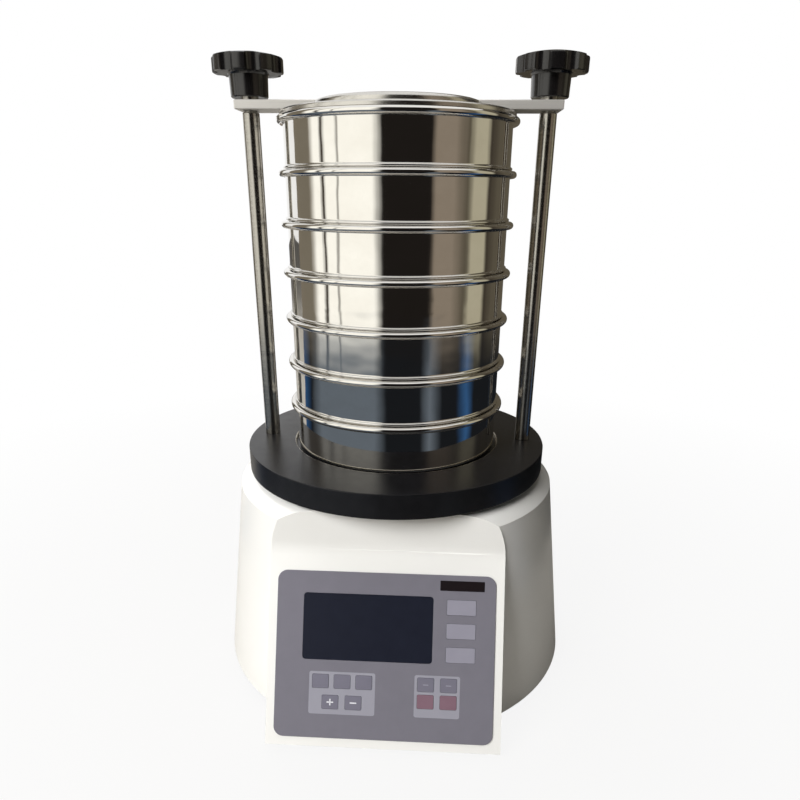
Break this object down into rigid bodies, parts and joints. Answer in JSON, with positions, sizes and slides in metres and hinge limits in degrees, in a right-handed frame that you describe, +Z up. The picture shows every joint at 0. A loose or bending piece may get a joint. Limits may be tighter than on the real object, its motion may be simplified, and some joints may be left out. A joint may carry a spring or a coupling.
{
  "type": "sieve shaker",
  "caption": "Electromagnetic sieve shaker: flared white drive housing with sloped control panel, round vibrating plate, stacked test sieves with pan and lid, clamped by rods, bar and star knobs",
  "frame": {"origin": "on the axis of the sieve stack, in the underside of the middle rubber foot, level with the four outer feet", "axes": "+Z up along the sieve stack, -Y towards the operator and the control panel, +X to the operator's right"},
  "size_m": [0.372, 0.387, 0.5868],
  "materials": {
    "white_enamel": "smooth semi-gloss white enamel",
    "zinc_sheet": "zinc-plated steel",
    "rubber": "black rubber",
    "panel_film": "satin printed polyester film",
    "wide_key": "satin film key",
    "small_key": "satin film key",
    "red_key": "satin film key",
    "display_glass": "dark display window",
    "circuit_board": "green laminate",
    "black_plastic": "moulded black plastic",
    "cast_iron": "as cast, painted",
    "lamination": "stacked electrical steel",
    "coil_wire": "varnished copper winding",
    "spring_steel": "drawn spring wire",
    "black_coat": "satin black coating on aluminium",
    "polished_steel": "polished stainless steel",
    "stainless_sheet": "spun stainless sheet, mirror polished",
    "wire_cloth": "woven wire cloth",
    "black_gloss": "glossy black phenolic"
  },
  "bodies": {
    "base": {"housing": "white_enamel", "base_plate": "zinc_sheet", "base_screws": "zinc_sheet", "rubber_feet": "rubber", "control_panel": "panel_film", "display_window": "display_glass", "control_board": "circuit_board", "power_inlet": "black_plastic", "switch_frame": "black_plastic", "power_board": "circuit_board", "magnet_base": "cast_iron", "magnet_core": "lamination", "magnet_coil": "coil_wire", "support_posts": "zinc_sheet", "support_springs": "spring_steel"},
    "vibrator": {"vibrating_plate": "black_coat", "rod_left": "polished_steel", "rod_right": "polished_steel", "rod_nuts": "zinc_sheet", "armature": "lamination", "drive_stem": "zinc_sheet"},
    "rocker": {"rocker_button": "black_plastic"},
    "pan": {"receiver_pan": "stainless_sheet"},
    "cover": {"lid": "stainless_sheet"},
    "clamp_bar": {"crossbar": "polished_steel"},
    "key_light_pad": {"key_light": "wide_key"},
    "key_mode_pad": {"key_mode": "wide_key"},
    "key_auto_pad": {"key_auto": "wide_key"},
    "key_timer_pad": {"key_timer": "small_key"},
    "key_amplitude_pad": {"key_amplitude": "small_key"},
    "key_frequency_pad": {"key_frequency": "small_key"},
    "key_plus_pad": {"key_plus": "small_key"},
    "key_minus_pad": {"key_minus": "small_key"},
    "key_pause_pad": {"key_pause": "small_key"},
    "key_resume_pad": {"key_resume": "small_key"},
    "key_stop_pad": {"key_stop": "red_key"},
    "key_start_pad": {"key_start": "red_key"},
    "sieve_6": {"sieve_frame_6": "stainless_sheet", "sieve_mesh_6": "wire_cloth"},
    "sieve_5": {"sieve_frame_5": "stainless_sheet", "sieve_mesh_5": "wire_cloth"},
    "sieve_4": {"sieve_frame_4": "stainless_sheet", "sieve_mesh_4": "wire_cloth"},
    "sieve_3": {"sieve_frame_3": "stainless_sheet", "sieve_mesh_3": "wire_cloth"},
    "sieve_2": {"sieve_frame_2": "stainless_sheet", "sieve_mesh_2": "wire_cloth"},
    "sieve_1": {"sieve_frame_1": "stainless_sheet", "sieve_mesh_1": "wire_cloth"},
    "bush_left": {"knob_bush_left": "polished_steel"},
    "hand_knob_left": {"knob_left": "black_gloss"},
    "bush_right": {"knob_bush_right": "polished_steel"},
    "hand_knob_right": {"knob_right": "black_gloss"}
  },
  "joints": [
    {"name": "plate_vibration", "type": "slide", "parent": "base", "child": "vibrator", "axis": [0, 0, 1], "range_m": [-0.0015, 0.0015], "stiffness_N_per_m": 200000, "springref_m": 0.0004, "deforming": ["support_springs"]},
    {"name": "rocker_pivot", "type": "hinge", "parent": "base", "child": "rocker", "pos_m": [-0.024, 0.166, 0.057], "axis": [1, 0, 0], "range_deg": [-16, 0]},
    {"name": "key_light_press", "type": "slide", "parent": "base", "child": "key_light_pad", "axis": [0, 0.9135, -0.4067], "range_m": [0, 0.0004], "stiffness_N_per_m": 1500, "springref_m": -0.0003},
    {"name": "key_mode_press", "type": "slide", "parent": "base", "child": "key_mode_pad", "axis": [0, 0.9135, -0.4067], "range_m": [0, 0.0004], "stiffness_N_per_m": 1500, "springref_m": -0.0003},
    {"name": "key_auto_press", "type": "slide", "parent": "base", "child": "key_auto_pad", "axis": [0, 0.9135, -0.4067], "range_m": [0, 0.0004], "stiffness_N_per_m": 1500, "springref_m": -0.0003},
    {"name": "key_timer_press", "type": "slide", "parent": "base", "child": "key_timer_pad", "axis": [0, 0.9135, -0.4067], "range_m": [0, 0.0004], "stiffness_N_per_m": 1500, "springref_m": -0.0003},
    {"name": "key_amplitude_press", "type": "slide", "parent": "base", "child": "key_amplitude_pad", "axis": [0, 0.9135, -0.4067], "range_m": [0, 0.0004], "stiffness_N_per_m": 1500, "springref_m": -0.0003},
    {"name": "key_frequency_press", "type": "slide", "parent": "base", "child": "key_frequency_pad", "axis": [0, 0.9135, -0.4067], "range_m": [0, 0.0004], "stiffness_N_per_m": 1500, "springref_m": -0.0003},
    {"name": "key_plus_press", "type": "slide", "parent": "base", "child": "key_plus_pad", "axis": [0, 0.9135, -0.4067], "range_m": [0, 0.0004], "stiffness_N_per_m": 1500, "springref_m": -0.0003},
    {"name": "key_minus_press", "type": "slide", "parent": "base", "child": "key_minus_pad", "axis": [0, 0.9135, -0.4067], "range_m": [0, 0.0004], "stiffness_N_per_m": 1500, "springref_m": -0.0003},
    {"name": "key_pause_press", "type": "slide", "parent": "base", "child": "key_pause_pad", "axis": [0, 0.9135, -0.4067], "range_m": [0, 0.0004], "stiffness_N_per_m": 1500, "springref_m": -0.0003},
    {"name": "key_resume_press", "type": "slide", "parent": "base", "child": "key_resume_pad", "axis": [0, 0.9135, -0.4067], "range_m": [0, 0.0004], "stiffness_N_per_m": 1500, "springref_m": -0.0003},
    {"name": "key_stop_press", "type": "slide", "parent": "base", "child": "key_stop_pad", "axis": [0, 0.9135, -0.4067], "range_m": [0, 0.0004], "stiffness_N_per_m": 1500, "springref_m": -0.0003},
    {"name": "key_start_press", "type": "slide", "parent": "base", "child": "key_start_pad", "axis": [0, 0.9135, -0.4067], "range_m": [0, 0.0004], "stiffness_N_per_m": 1500, "springref_m": -0.0003},
    {"name": "pan_lift", "type": "slide", "parent": "vibrator", "child": "pan", "axis": [0, 0, 1], "range_m": [0, 0.08]},
    {"name": "sieve_6_lift", "type": "slide", "parent": "pan", "child": "sieve_6", "axis": [0, 0, 1], "range_m": [0, 0.06]},
    {"name": "sieve_5_lift", "type": "slide", "parent": "sieve_6", "child": "sieve_5", "axis": [0, 0, 1], "range_m": [0, 0.06]},
    {"name": "sieve_4_lift", "type": "slide", "parent": "sieve_5", "child": "sieve_4", "axis": [0, 0, 1], "range_m": [0, 0.06]},
    {"name": "sieve_3_lift", "type": "slide", "parent": "sieve_4", "child": "sieve_3", "axis": [0, 0, 1], "range_m": [0, 0.06]},
    {"name": "sieve_2_lift", "type": "slide", "parent": "sieve_3", "child": "sieve_2", "axis": [0, 0, 1], "range_m": [0, 0.06]},
    {"name": "sieve_1_lift", "type": "slide", "parent": "sieve_2", "child": "sieve_1", "axis": [0, 0, 1], "range_m": [0, 0.06]},
    {"name": "lid_lift", "type": "slide", "parent": "sieve_1", "child": "cover", "axis": [0, 0, 1], "range_m": [0, 0.04]},
    {"name": "crossbar_lift", "type": "slide", "parent": "cover", "child": "clamp_bar", "axis": [0, 0, 1], "range_m": [0, 0.03]},
    {"name": "knob_left_rise", "type": "slide", "parent": "clamp_bar", "child": "bush_left", "axis": [0, 0, 1], "range_m": [0, 0.007]},
    {"name": "knob_left_turn", "type": "hinge", "parent": "bush_left", "child": "hand_knob_left", "pos_m": [-0.131, 0, 0.33], "axis": [0, 0, 1], "range_deg": [0, 1440]},
    {"name": "knob_right_rise", "type": "slide", "parent": "clamp_bar", "child": "bush_right", "axis": [0, 0, 1], "range_m": [0, 0.007]},
    {"name": "knob_right_turn", "type": "hinge", "parent": "bush_right", "child": "hand_knob_right", "pos_m": [0.131, 0, 0.33], "axis": [0, 0, 1], "range_deg": [0, 1440]}
  ],
  "couplings": [
    {"joint": "knob_left_rise", "follows": "knob_left_turn", "m_per_rad": 0.00027852},
    {"joint": "knob_right_rise", "follows": "knob_right_turn", "m_per_rad": 0.00027852}
  ]
}
